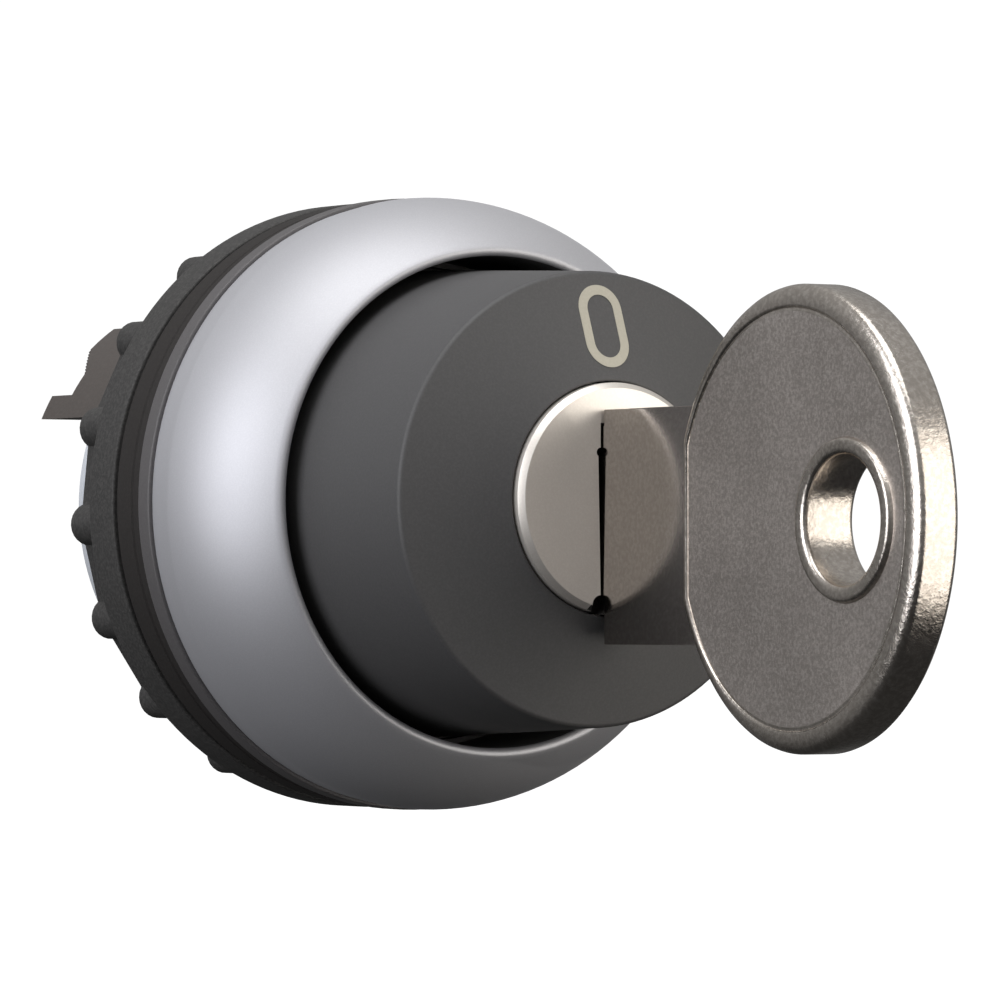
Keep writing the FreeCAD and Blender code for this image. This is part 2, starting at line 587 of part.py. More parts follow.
# ---- the drive ----------------------------------------------------------------------
def cam_rotor():
    """Cam on the plug's tang: two inclined faces push the plungers, notches hold the detent."""
    high = CAM_MID + CAM_SLOPE * CAM_HALF_Z
    low = CAM_MID - CAM_SLOPE * CAM_HALF_Z
    far = ROTOR_R + 1
    strip = 1.9
    hub_end = TANG_END + 2.6
    body = rod(ROTOR_R, ROTOR_FRONT, high)
    lug = sector(ROTOR_R - 0.3, BARREL_BORE_R - 0.3, ROTOR_FRONT, ROTOR_FRONT + 2.3,
                 270 - STOP_LUG_HALF, 270 + STOP_LUG_HALF)
    cuts = [block(-strip, strip, hub_end, high + 1, -far, far)]
    for side in (-1, 1):
        face = [(-far, low), (-CAM_HALF_Z, low), (CAM_HALF_Z, high),
                (far, high), (far, high + 1), (-far, high + 1)]
        corners = [V(side * strip, y, side * z) for z, y in face]
        cuts.append(Part.Face(Part.makePolygon(corners + corners[:1])).extrude(V(side * far, 0, 0)))
    for angle in (90 - TURN / 2, 90 + TURN / 2):
        place = polar(ROTOR_R + 0.2, angle, 0)
        cuts.append(rod(0.95, ROTOR_FRONT - 1, high + 1, place.x, place.z))
    cuts.append(rod(SCREW_BORE_R, ROTOR_FRONT, high + 1))
    cuts.append(rod(SCREW_HEAD_R + 0.1, hub_end, high + 1))
    body = spun(body.fuse(lug).cut(cuts[0].fuse(cuts[1:])), -TURN / 2)
    socket = TANG / 2 + 0.04
    return body.cut(block(-socket, socket, ROTOR_FRONT - 1, TANG_END + 0.1, -socket, socket))


def rotor_screw():
    """Screw that holds the cam on the tang."""
    shank = rod(SCREW_BORE_R - RUN, PLUG_REAR + 1, TANG_END + 2.65)
    head = rod(SCREW_HEAD_R, TANG_END + 2.62, TANG_END + 3.7)
    slot = block(-3, 3, TANG_END + 3.2, TANG_END + 4.5, -0.25, 0.25)
    return shank.fuse(head).cut(slot)


def plunger_nose():
    """Station of the ball's centre with the key at 0, clear of the cam's inclined face."""
    return CAM_MID - STROKE / 2 + (PLUNGER_R + PLUNGER_GAP) / math.cos(math.atan(CAM_SLOPE))


def plunger(side):
    """Pin with a ball nose on the cam and a shoulder for its spring."""
    x = side * PLUNGER_X
    nose = plunger_nose()
    shaft = rod(PLUNGER_R, nose, CLAW_END - STROKE, x)
    ball = Part.makeSphere(PLUNGER_R, V(x, nose, 0))
    shoulder = rod(PLUNGER_SHOULDER_R, nose, nose + PLUNGER_SHOULDER_T, x)
    return shaft.fuse([ball, shoulder]).removeSplitter()


def plunger_spring(side):
    """Return spring between a plunger's shoulder and the collar's floor."""
    wire_r = 0.14
    y0 = plunger_nose() + PLUNGER_SHOULDER_T + wire_r + 0.04
    return coil_along_y(2.0, wire_r, y0, COLLAR_FLOOR_Y - wire_r - 0.04, 5, side * PLUNGER_X)


def detent_spring():
    """Leaf in the barrel whose bump drops into the cam's notches at the two positions."""
    outer = BARREL_BORE_R - 0.15
    inner = outer - 0.3
    y0 = ROTOR_FRONT + 2.7
    y1 = ROTOR_FRONT + 5.6
    leaf = sector(inner, outer, y0, y1, 50, 130)
    bump_r = 0.7
    bump_centre = ROTOR_R + 0.45
    bump = rod(bump_r, y0, y1, 0, bump_centre)
    neck = block(-bump_r, bump_r, y0, y1, bump_centre, inner + 0.1)
    return leaf.fuse([bump, neck]).removeSplitter()


# ---- files --------------------------------------------------------------------------
NODES = {
    "bezel_ring": bezel_ring, "mounting_flange": mounting_flange, "panel_gasket": panel_gasket,
    "threaded_barrel": threaded_barrel, "lock_head": lock_head, "position_marks": position_marks,
    "coupling_collar": coupling_collar, "ring_nut": ring_nut, "lock_washer": lock_washer,
    "lock_shell": lock_shell, "head_screws": head_screws, "head_seal": head_seal,
    "plug_seal": plug_seal, "lock_plug": lock_plug, "plug_circlip": plug_circlip,
    "wafer_springs": wafer_springs, "key": key, "cam_rotor": cam_rotor,
    "rotor_screw": rotor_screw, "detent_spring": detent_spring,
}

os.makedirs("parts", exist_ok=True)
shapes = {name: make() for name, make in NODES.items()}
for number, station in enumerate(wafer_stations(), 1):
    shapes[f"wafer_{number}"] = wafer(station)
for name, side in (("left", -1), ("right", 1)):
    shapes[f"plunger_{name}"] = plunger(side)
    shapes[f"plunger_spring_{name}"] = plunger_spring(side)
for name, shape in shapes.items():
    shape.exportStep(f"parts/{name}.step")
    box = shape.BoundBox
    print(f"{name:22s} solids {len(shape.Solids)} valid {shape.isValid()} volume {shape.Volume:8.2f} "
          f"y {box.YMin:7.2f} {box.YMax:7.2f} r {max(box.XMax, box.ZMax):6.2f}")
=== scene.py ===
import math

import bmesh
import bpy
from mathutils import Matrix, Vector


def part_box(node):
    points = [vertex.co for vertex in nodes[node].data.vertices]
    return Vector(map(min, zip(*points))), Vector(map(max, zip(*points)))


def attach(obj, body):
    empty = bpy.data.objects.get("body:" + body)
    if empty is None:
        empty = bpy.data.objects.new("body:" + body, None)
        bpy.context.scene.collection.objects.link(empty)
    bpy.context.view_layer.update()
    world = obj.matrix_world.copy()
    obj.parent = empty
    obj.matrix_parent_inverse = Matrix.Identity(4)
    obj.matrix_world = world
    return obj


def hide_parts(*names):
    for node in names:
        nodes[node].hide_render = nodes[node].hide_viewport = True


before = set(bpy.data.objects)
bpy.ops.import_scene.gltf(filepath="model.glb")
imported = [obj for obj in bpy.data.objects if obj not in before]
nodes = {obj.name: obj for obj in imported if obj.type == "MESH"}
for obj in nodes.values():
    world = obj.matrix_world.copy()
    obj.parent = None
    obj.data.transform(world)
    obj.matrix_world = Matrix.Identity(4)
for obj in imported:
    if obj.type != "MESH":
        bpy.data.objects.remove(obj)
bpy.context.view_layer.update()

MM = 0.001


def node_box(name):
    """Lowest and highest corner of a CAD node, in millimetres."""
    low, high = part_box(name)
    return low / MM, high / MM


# Stations along the switch's axis (Y) and radii, in millimetres, read from the frame.
BEZEL_LOW, BEZEL_HIGH = node_box("bezel_ring")
FLANGE_LOW, FLANGE_HIGH = node_box("mounting_flange")
GASKET_LOW, GASKET_HIGH = node_box("panel_gasket")
HEAD_LOW, HEAD_HIGH = node_box("lock_head")
PLUG_LOW, PLUG_HIGH = node_box("lock_plug")
NUT_LOW, NUT_HIGH = node_box("ring_nut")
BARREL_LOW, BARREL_HIGH = node_box("threaded_barrel")

FLOOR_Z = -0.06            # metres

# The barrel and what fits round it, in mm.
THREAD_R, THREAD_ROOT_R, THREAD_PITCH, THREAD_TURNS = 11.0, 10.5, 1.5, 6
NUT_BORE_R = THREAD_R + 0.05
BARREL_BORE_R = 9.4
NECK_R = 10.6
SHELL_BORE_R = 8.05        # room for the lock's shell
WEB_BORE_R, WEB_T = 5.15, 1.4
LUG_HALF, LUG_R = 1.5, 12.0
LIP_R = 11.8               # the silver ring's inner lip

# The lock, in mm.
LOCK_R = 5.0               # the plug behind its wide face
HEAD_WALL = 2.35           # front wall of the head, round the plug
WAFERS = 5
KEYWAY_HALF = 1.03
FOOT_NOTCH_Z, FOOT_NOTCH_R = -4.95, 0.45
SIDE_NOTCH_Z, SIDE_NOTCH_R = 2.15, 0.22
NOTCH_DEPTH = 0.9
TANG_LENGTH = 4.0

# The key, in mm: its stations follow the lock's face.
KEY_SHOULDER = PLUG_LOW.y - 0.15
KEY_EDGE = KEY_SHOULDER - 6.9
KEY_TIP = KEY_SHOULDER + 17.4
KEY_CENTRE = KEY_EDGE - 8.93
KEY_MIDDLE = -1.14
HEAD_SEMI_Y, HEAD_SEMI_Z = 9.65, 10.49
EYE_Y, EYE_Z = KEY_CENTRE - 4.0, KEY_MIDDLE - 0.09
SHANK_HALF = 0.95
SHANK_TOP, SHANK_BOTTOM = 4.14, -6.79
STEP_TOP, STEP_BOTTOM = 3.4, -4.55     # the blade's first step, in the keyway's mouth
BLADE_TOP, BLADE_BOTTOM = 2.8, -3.2
TIP_SLOPE_Y, TIP_SLOPE_Z = 1.6, 2.2

SEGMENTS = 144             # steps round every turned piece
CORNER_STEPS = 4           # points in a rounded corner of an outline


# ---- modelling helpers --------------------------------------------------------------
def deselect_all():
    bpy.ops.object.select_all(action="DESELECT")


def work_on(piece):
    """Makes the piece the only one selected, and the active one."""
    deselect_all()
    piece.select_set(True)
    bpy.context.view_layer.objects.active = piece


def edit(piece):
    work_on(piece)
    bpy.ops.object.mode_set(mode="EDIT")
    bpy.ops.mesh.select_all(action="DESELECT")


def leave_edit():
    bpy.ops.object.mode_set(mode="OBJECT")


def settle():
    """Merges doubles, points every face outwards and leaves edit mode."""
    bpy.ops.mesh.select_all(action="SELECT")
    bpy.ops.mesh.remove_doubles(threshold=1e-7)
    bpy.ops.mesh.normals_make_consistent(inside=False)
    leave_edit()


def pick_faces(piece, wanted):
    """Selects the faces, in edit mode, whose middle (in mm) and normal pass the test."""
    bpy.ops.mesh.select_mode(type="FACE")
    mesh = bmesh.from_edit_mesh(piece.data)
    for face in mesh.faces:
        face.select_set(bool(wanted(face.calc_center_median() / MM, face.normal)))
    mesh.select_flush_mode()
    bmesh.update_edit_mesh(piece.data)


def rounded(corners):
    """An outline in mm whose corners (a, b, radius) become arcs; a corner (a, b) stays sharp."""
    points = []
    count = len(corners)
    for index, corner in enumerate(corners):
        here = Vector(corner[:2])
        if len(corner) < 3:
            points.append(here)
            continue
        before = Vector(corners[index - 1][:2]) - here
        after = Vector(corners[(index + 1) % count][:2]) - here
        half = before.angle(after) / 2
        reach = min(corner[2] / math.tan(half), before.length * 0.49, after.length * 0.49)
        start = here + before.normalized() * reach
        end = here + after.normalized() * reach
        for step in range(CORNER_STEPS + 1):
            t = step / CORNER_STEPS
            points.append(start * (1 - t) ** 2 + here * (2 * t * (1 - t)) + end * t ** 2)
    return points


def draw_outline(name, points, place, closed=True):
    """Draws an outline by extruding one corner from point to point; it stays in edit mode."""
    spots = [Vector(place(*point)) * MM for point in points]
    deselect_all()
    bpy.ops.mesh.primitive_plane_add(size=MM, location=spots[0])
    piece = bpy.context.object
    piece.name = name
    bpy.ops.object.transform_apply(location=True, rotation=False, scale=False)
    bpy.ops.object.mode_set(mode="EDIT")
    bpy.ops.mesh.select_mode(type="VERT")
    bpy.ops.mesh.select_all(action="SELECT")
    bpy.ops.mesh.merge(type="CENTER")
    for here, there in zip(spots, spots[1:] + (spots[:1] if closed else [])):
        bpy.ops.mesh.extrude_region_move(TRANSFORM_OT_translate={"value": there - here})
    bpy.ops.mesh.select_all(action="SELECT")
    if closed:
        bpy.ops.mesh.remove_doubles(threshold=1e-7)
    return piece


def across_y(radius, station):
    """Where a (radius, station) point of a piece turned round the Y axis goes."""
    return radius, station, 0


def turned(name, corners, place=across_y, centre=(0, 0, 0), axis=(0, 1, 0)):
    """Spins an outline round the axis; one that starts and ends on the axis stays open."""
    solid = corners[0][0] == 0
    piece = draw_outline(name, rounded(corners), place, closed=not solid)
    bpy.ops.mesh.spin(steps=SEGMENTS, angle=2 * math.pi, center=Vector(centre) * MM, axis=axis)
    settle()
    return piece


def slab(name, points, place, depth):
    """Fills an outline and extrudes it by the depth vector, in mm."""
    piece = draw_outline(name, points, place)
    bpy.ops.mesh.edge_face_add()
    bpy.ops.mesh.extrude_region_move(TRANSFORM_OT_translate={"value": Vector(depth) * MM})
    settle()
    return piece


def apply_modifier(piece, kind, **settings):
    modifier = piece.modifiers.new(kind.lower(), kind)
    for key, value in settings.items():
        setattr(modifier, key, value)
    work_on(piece)
    bpy.ops.object.modifier_apply(modifier=modifier.name)


def bevel(piece, width, segments=3, degrees=30):
    apply_modifier(piece, "BEVEL", width=width * MM, segments=segments, limit_method="ANGLE",
                   angle_limit=math.radians(degrees), miter_outer="MITER_ARC")


def smooth(piece, degrees=40):
    """Smooth shading whose flats stay flat up to their rounded edges."""
    work_on(piece)
    bpy.ops.object.shade_smooth_by_angle(angle=math.radians(degrees))
    apply_modifier(piece, "WEIGHTED_NORMAL", keep_sharp=True, weight=80)


def subtract(piece, *tools):
    """Cuts the tools out of the piece and removes them."""
    for tool in tools:
        apply_modifier(piece, "BOOLEAN", operation="DIFFERENCE", solver="EXACT", object=tool)
        bpy.data.objects.remove(tool)


def join(name, pieces):
    work_on(pieces[0])
    for piece in pieces:
        piece.select_set(True)
    bpy.ops.object.join()
    pieces[0].name = name
    return pieces[0]


def rod(name, radius, start, end, vertices=48):
    """A round bar between two points, in mm, drawn as a cylinder and put in place."""
    start, end = Vector(start) * MM, Vector(end) * MM
    along = end - start
    turn = Vector((0, 0, 1)).rotation_difference(along).to_euler()
    deselect_all()
    bpy.ops.mesh.primitive_cylinder_add(vertices=vertices, radius=radius * MM, depth=along.length,
                                        location=(start + end) / 2, rotation=turn)
    bpy.context.object.name = name
    bpy.ops.object.transform_apply(location=True, rotation=True, scale=True)
    return bpy.context.object


def brick(name, low, high):
    """A box between two corners, in mm."""
    low, high = Vector(low) * MM, Vector(high) * MM
    deselect_all()
    bpy.ops.mesh.primitive_cube_add(size=1, location=(low + high) / 2, scale=high - low)
    bpy.context.object.name = name
    bpy.ops.object.transform_apply(location=True, rotation=True, scale=True)
    return bpy.context.object


# ---- shader groups ------------------------------------------------------------------
def new_group(name, inputs, outputs):
    group = bpy.data.node_groups.new(name, "ShaderNodeTree")
    for label, kind, value in inputs:
        socket = group.interface.new_socket(label, in_out="INPUT", socket_type=kind)
        socket.default_value = value
    for label, kind in outputs:
        group.interface.new_socket(label, in_out="OUTPUT", socket_type=kind)
    start = group.nodes.new("NodeGroupInput")
    end = group.nodes.new("NodeGroupOutput")
    return group, start, end


def add(tree, kind, settings=None, **values):
    """A node with its properties (settings) and its sockets' values."""
    node = tree.nodes.new(kind)
    for key, value in (settings or {}).items():
        setattr(node, key, value)
    for key, value in values.items():
        node.inputs[key.replace("_", " ")].default_value = value
    return node


FLOAT, COLOR = "NodeSocketFloat", "NodeSocketColor"


def speckle_group():
    """Fine grain: a speckled colour, a roughness and a height, from two scales of noise."""
    group, start, end = new_group("surface_grain", [
        ("Base", COLOR, (0.5, 0.5, 0.5, 1)), ("Speck", COLOR, (0.6, 0.6, 0.6, 1)),
        ("Scale", FLOAT, 9000.0), ("Amount", FLOAT, 0.5),
        ("Roughness", FLOAT, 0.5), ("Roughness Range", FLOAT, 0.1),
    ], [("Color", COLOR), ("Roughness", FLOAT), ("Height", FLOAT)])
    link = group.links.new
    place = add(group, "ShaderNodeTexCoord")
    fine = add(group, "ShaderNodeTexNoise", Detail=3.0, Roughness=0.65)
    link(place.outputs["Object"], fine.inputs["Vector"])
    link(start.outputs["Scale"], fine.inputs["Scale"])
    broad = add(group, "ShaderNodeTexNoise", Scale=180.0, Detail=2.0)
    link(place.outputs["Object"], broad.inputs["Vector"])
    mask = add(group, "ShaderNodeMapRange")
    mask.inputs["From Min"].default_value = 0.42
    mask.inputs["From Max"].default_value = 0.66
    link(fine.outputs["Fac"], mask.inputs["Value"])
    share = add(group, "ShaderNodeMath", {"operation": "MULTIPLY"})
    link(mask.outputs["Result"], share.inputs[0])
    link(start.outputs["Amount"], share.inputs[1])
    mix = add(group, "ShaderNodeMix", {"data_type": "RGBA"})
    link(share.outputs[0], mix.inputs["Factor"])
    link(start.outputs["Base"], mix.inputs[6])
    link(start.outputs["Speck"], mix.inputs[7])
    patch = add(group, "ShaderNodeMath", {"operation": "MULTIPLY_ADD"})
    link(broad.outputs["Fac"], patch.inputs[0])
    link(start.outputs["Roughness Range"], patch.inputs[1])
    link(start.outputs["Roughness"], patch.inputs[2])
    link(mix.outputs[2], end.inputs["Color"])
    link(patch.outputs[0], end.inputs["Roughness"])
    link(fine.outputs["Fac"], end.inputs["Height"])
    return group


GRAIN = speckle_group()


def grain_material(name, base, speck, scale, amount, roughness, spread, metallic=0.0, bump=0.1,
                   bump_mm=0.02, **shader):
    """A Principled material whose colour, roughness and bump come from the grain group."""
    material = bpy.data.materials.new(name)
    material.use_nodes = True
    tree = material.node_tree
    bsdf = tree.nodes["Principled BSDF"]
    grain = tree.nodes.new("ShaderNodeGroup")
    grain.node_tree = GRAIN
    grain.inputs["Base"].default_value = (*base, 1)
    grain.inputs["Speck"].default_value = (*speck, 1)
    grain.inputs["Scale"].default_value = scale
    grain.inputs["Amount"].default_value = amount
    grain.inputs["Roughness"].default_value = roughness - spread / 2
    grain.inputs["Roughness Range"].default_value = spread
    relief = add(tree, "ShaderNodeBump", Strength=bump, Distance=bump_mm * MM)
    tree.links.new(grain.outputs["Height"], relief.inputs["Height"])
    tree.links.new(grain.outputs["Color"], bsdf.inputs["Base Color"])
    tree.links.new(grain.outputs["Roughness"], bsdf.inputs["Roughness"])
    tree.links.new(relief.outputs["Normal"], bsdf.inputs["Normal"])
    bsdf.inputs["Metallic"].default_value = metallic
    for key, value in shader.items():
        bsdf.inputs[key.replace("_", " ")].default_value = value
    return material


def paint(piece, material):
    piece.data.materials.clear()
    piece.data.materials.append(material)
    return piece


def stain(piece, material, wanted):
    """Gives the faces that pass the test a second material."""
    piece.data.materials.append(material)
    edit(piece)
    pick_faces(piece, wanted)
    piece.active_material_index = len(piece.data.materials) - 1
    bpy.ops.object.material_slot_assign()
    leave_edit()


satin_silver = grain_material("satin_silver", (0.50, 0.50, 0.525), (0.57, 0.57, 0.595), 14000, 0.5,
                              0.54, 0.06, metallic=0.6, bump=0.12, bump_mm=0.006)
flange_grey = grain_material("flange_grey", (0.085, 0.080, 0.082), (0.115, 0.11, 0.11), 9000, 0.5,
                             0.5, 0.1, bump=0.2)
gasket_rubber = grain_material("gasket_rubber", (0.020, 0.0175, 0.0165), (0.032, 0.029, 0.027), 7000, 0.5,
                               0.72, 0.15, bump=0.25, Specular_IOR_Level=0.3)
head_black = grain_material("head_black", (0.070, 0.069, 0.070), (0.088, 0.086, 0.087), 9000, 0.6,
                            0.52, 0.08, bump=0.22, bump_mm=0.015, Specular_IOR_Level=0.4)
mark_cream = grain_material("mark_cream", (0.43, 0.405, 0.33), (0.5, 0.475, 0.4), 8000, 0.4,
                            0.5, 0.1, bump=0.1)
nut_black = grain_material("nut_black", (0.036, 0.035, 0.034), (0.085, 0.082, 0.079), 6500, 0.55,
                           0.62, 0.12, bump=0.35, bump_mm=0.03, Specular_IOR_Level=0.3)
barrel_silver = grain_material("barrel_silver", (0.70, 0.73, 0.78), (0.78, 0.80, 0.84), 6000, 0.5,
                               0.4, 0.1, metallic=0.3, bump=0.1)
claw_brown = grain_material("claw_brown", (0.060, 0.051, 0.046), (0.09, 0.078, 0.07), 7000, 0.5,
                            0.5, 0.1, bump=0.2)
lock_nickel = grain_material("lock_nickel", (0.76, 0.715, 0.66), (0.84, 0.80, 0.745), 11000, 0.5,
                             0.4, 0.08, metallic=0.7, bump=0.1, bump_mm=0.006)
# Near-black for the keyway's mouth and foot notch: painted shade in these recesses.
keyway_painted_shade = grain_material("keyway_painted_shade", (0.012, 0.011, 0.010), (0.03, 0.027, 0.024), 6000, 0.5,
                              0.7, 0.15, bump=0.2)
key_flat = grain_material("key_flat", (0.42, 0.38, 0.35), (0.72, 0.67, 0.63), 6500, 0.6,
                          0.42, 0.14, metallic=1.0, bump=0.55, bump_mm=0.03)
key_shank = grain_material("key_shank", (0.52, 0.475, 0.44), (0.74, 0.695, 0.65), 5000, 0.45,
                           0.13, 0.08, metallic=1.0, bump=0.16, bump_mm=0.012)
key_polish = grain_material("key_polish", (0.50, 0.455, 0.41), (0.78, 0.73, 0.67), 4200, 0.6,
                            0.26, 0.2, metallic=1.0, bump=0.5, bump_mm=0.04)
spring_steel = grain_material("spring_steel", (0.55, 0.55, 0.55), (0.62, 0.62, 0.62), 8000, 0.4,
                              0.3, 0.1, metallic=1.0)
cast_zinc = grain_material("cast_zinc", (0.45, 0.45, 0.44), (0.55, 0.55, 0.54), 5000, 0.5,
                           0.45, 0.15, metallic=1.0, bump=0.25)
wafer_brass = grain_material("wafer_brass", (0.62, 0.47, 0.2), (0.7, 0.55, 0.27), 8000, 0.4,
                             0.3, 0.1, metallic=1.0)
cam_plastic = grain_material("cam_plastic", (0.6, 0.57, 0.5), (0.66, 0.63, 0.56), 6000, 0.4,
                             0.5, 0.1)


# ---- pieces -------------------------------------------------------------------------
def finish_piece(piece, body, slot, material, *replaced):
    smooth(piece)
    if material:
        paint(piece, material)
    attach(piece, body)
    if replaced:
        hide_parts(*replaced)
    return piece


def arc_points(a, middle, b, count):
    """Points on the circle through three points of an outline, without the last one."""
    (ax, ay), (mx, my), (bx, by) = a, middle, b
    d = 2 * (ax * (my - by) + mx * (by - ay) + bx * (ay - my))
    ux = ((ax**2 + ay**2) * (my - by) + (mx**2 + my**2) * (by - ay) + (bx**2 + by**2) * (ay - my)) / d
    uy = ((ax**2 + ay**2) * (bx - mx) + (mx**2 + my**2) * (ax - bx) + (bx**2 + by**2) * (mx - ax)) / d
    radius = math.hypot(ax - ux, ay - uy)
    start = math.atan2(ay - uy, ax - ux)
    sweep = math.remainder(math.atan2(by - uy, bx - ux) - start, 2 * math.pi)
    return [(ux + radius * math.cos(start + sweep * i / count),
             uy + radius * math.sin(start + sweep * i / count)) for i in range(count)]


def front_ring():
    """The domed silver ring: soft shoulder, rounded lip, and the well inside it."""
    front, rear, max_r = BEZEL_LOW.y, BEZEL_HIGH.y, BEZEL_HIGH.x
    web_front, web_r = rear - 1.0, LIP_R - 0.25
    shoulder = (max_r, rear - 1.6)
    crown = (max_r - 0.75, rear - 5.0)
    lip = (LIP_R + 0.42, front + 0.06)
    outline = [(max_r - 0.15, rear, 0.08)] + arc_points(shoulder, crown, lip, 24) + [
        lip, (LIP_R + 0.3, front + 0.01), (LIP_R + 0.16, front + 0.03), (LIP_R + 0.05, front + 0.11),
        (LIP_R, front + 0.25), (LIP_R, web_front), (web_r, web_front), (web_r, rear)]
    piece = turned("front_ring", outline)
    finish_piece(piece, "housing", "satin_ring", satin_silver, "bezel_ring")
    # The well inside the lip gets the head's black: painted shade in the gap between the ring and the
    # head.
    stain(piece, head_black, lambda middle, normal:
          math.hypot(middle.x, middle.z) < LIP_R + 0.01 and middle.y > front + 0.3)


def flange_rim():
    """Flat ring under the bezel, with softened corners."""
    front, rear, r = FLANGE_LOW.y, FLANGE_HIGH.y, FLANGE_HIGH.x
    inner = NECK_R + 0.1
    piece = turned("flange_rim", [(inner, front), (r, front, 0.14), (r, rear, 0.1), (inner, rear)])
    finish_piece(piece, "housing", "flange_grey", flange_grey, "mounting_flange")


def gasket():
    """Rubber ring: a moulding groove near the flange and a softened sealing edge."""
    front, rear, r = GASKET_LOW.y, GASKET_HIGH.y, GASKET_HIGH.x
    seam = front + 0.75
    piece = turned("gasket", [
        (NUT_BORE_R, front), (r - 0.1, front, 0.05), (r, front + 0.15, 0.1), (r, seam - 0.12),
        (r - 0.15, seam, 0.06), (r, seam + 0.12), (r, rear - 0.3, 0.2), (r - 0.3, rear, 0.2),
        (NUT_BORE_R, rear)])
    half, top = LUG_HALF + 0.1, LUG_R + 0.1
    subtract(piece, brick("lug_slot", (-half, front - 0.5, 9), (half, rear + 0.5, top)))
    finish_piece(piece, "housing", "gasket_rubber", gasket_rubber, "panel_gasket")


def head_shell():
    """The black head: tapered side, softened crease and low cone round the lock."""
    front, rear, base_r = HEAD_LOW.y, HEAD_HIGH.y, HEAD_HIGH.x
    hole_r, crease_r, neck_r = 5.5, 10.72, NECK_R + 0.05
    ledge, wall = front + 12.4, front + HEAD_WALL
    piece = turned("head_shell", [
        (hole_r, front, 0.12), (crease_r, front + 1.65, 0.3), (base_r, rear), (neck_r, rear),
        (neck_r, ledge), (SHELL_BORE_R, ledge), (SHELL_BORE_R, wall), (hole_r, wall)])
    finish_piece(piece, "housing", "head_black", head_black, "lock_head")


def wafer_station(number):
    """Middle of a wafer along the axis, front to back."""
    low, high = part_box(f"wafer_{number + 1}")
    return (low.y + high.y) / 2 / MM


def lock_core():
    """The lock's plug: chamfered face, keyway with its notches, wafer slots and drive tang."""
    face, rear, r = PLUG_LOW.y, PLUG_HIGH.y, PLUG_HIGH.x
    wall, tail = HEAD_LOW.y + HEAD_WALL, rear - TANG_LENGTH
    seal = HEAD_LOW.y + 0.7
    core = turned("lock_core", [
        (0, face), (r - 0.26, face, 0.04), (r, face + 0.26, 0.04), (r, seal), (r - 0.48, seal),
        (r - 0.48, seal + 0.6), (r, seal + 0.6), (r, wall), (LOCK_R, wall), (LOCK_R, tail - 0.5),
        (4.5, tail - 0.5), (4.5, tail - 0.1), (LOCK_R, tail - 0.1), (LOCK_R, tail), (0, tail)])
    half = KEYWAY_HALF
    wedge = slab("wedge", [(-half - 0.13, 2.1), (0, 2.1), (0, -4.6), (-half, -4.6)],
                 lambda x, z: (x, face - 1, z), (0, 1.9, 0))
    cuts = [
        brick("mouth", (-half, face - 1, STEP_BOTTOM - 0.12), (half, face + 1.05, STEP_TOP + 0.12)),
        brick("channel", (-half, face - 1, BLADE_BOTTOM - 0.12), (half, face + 17.9, BLADE_TOP + 0.12)),
        wedge,
    ]
    for name, radius, z in (("foot_notch", FOOT_NOTCH_R, FOOT_NOTCH_Z),
                            ("side_notch", SIDE_NOTCH_R, SIDE_NOTCH_Z)):
        cuts.append(rod(name, radius, (-half, face - 1, z), (-half, face + NOTCH_DEPTH, z)))
    for number in range(WAFERS):
        y = wafer_station(number)
        cuts.append(brick("wafer_slot", (-2.06, y - 0.46, -6), (2.06, y + 0.46, 6)))
        cuts.append(brick("spring_slot", (0, y - 0.46, -1.6), (3.5, y + 0.46, 2.6)))
    subtract(core, *cuts)
    tang = brick("tang", (-2.5, tail - 0.1, -2.5), (2.5, rear, 2.5))
    bevel(tang, 0.2)
    core = join("lock_core", [core, tang])
    finish_piece(core, "plug", "lock_face", lock_nickel, "lock_plug")
    # The keyway's mouth and the foot notch, just behind the face, are painted near-black: painted shade
    # in the recesses.
    stain(core, keyway_painted_shade, lambda middle, normal: face + 0.02 < middle.y < face + 1.2 and (
        (abs(middle.x) < 1.3 and -4.9 < middle.z < 3.6)
        or math.hypot(middle.x + half, middle.z - FOOT_NOTCH_Z) < FOOT_NOTCH_R + 0.02))


def key_blade():
    """Shank, shoulder, mouth step and bitted blade with a milled groove on each side."""
    root, step, slope = KEY_EDGE - 1.2, KEY_SHOULDER + 1, KEY_TIP - TIP_SLOPE_Y
    points = [(root, SHANK_BOTTOM), (KEY_SHOULDER, SHANK_BOTTOM), (KEY_SHOULDER, STEP_BOTTOM),
              (step, STEP_BOTTOM), (step, BLADE_BOTTOM), (slope, BLADE_BOTTOM),
              (KEY_TIP, BLADE_BOTTOM + TIP_SLOPE_Z), (KEY_TIP, BLADE_TOP - TIP_SLOPE_Z),
              (slope, BLADE_TOP)]
    for number in reversed(range(WAFERS)):
        y = wafer_station(number)
        depth = 0.35 + 0.2 * (round(y * 7) % 3)
        points += [(y + 0.8, BLADE_TOP), (y + 0.2, BLADE_TOP - depth), (y - 0.2, BLADE_TOP - depth),
                   (y - 0.8, BLADE_TOP)]
    points += [(step, BLADE_TOP), (step, STEP_TOP), (KEY_SHOULDER, STEP_TOP),
               (KEY_SHOULDER, SHANK_TOP), (root, SHANK_TOP)]
    shank = slab("key_blade", points, lambda y, z: (-SHANK_HALF, y, z), (2 * SHANK_HALF, 0, 0))
    bevel(shank, 0.09, 2, 20)
    for side, z in ((-1, 0.9), (1, -1.4)):
        x = side * (SHANK_HALF + 0.12)
        subtract(shank, rod("groove", 0.55, (x, KEY_SHOULDER + 1.4, z), (x, KEY_TIP + 1, z), 32))
    finish_piece(shank, "key", "key_nickel", key_shank, "key")


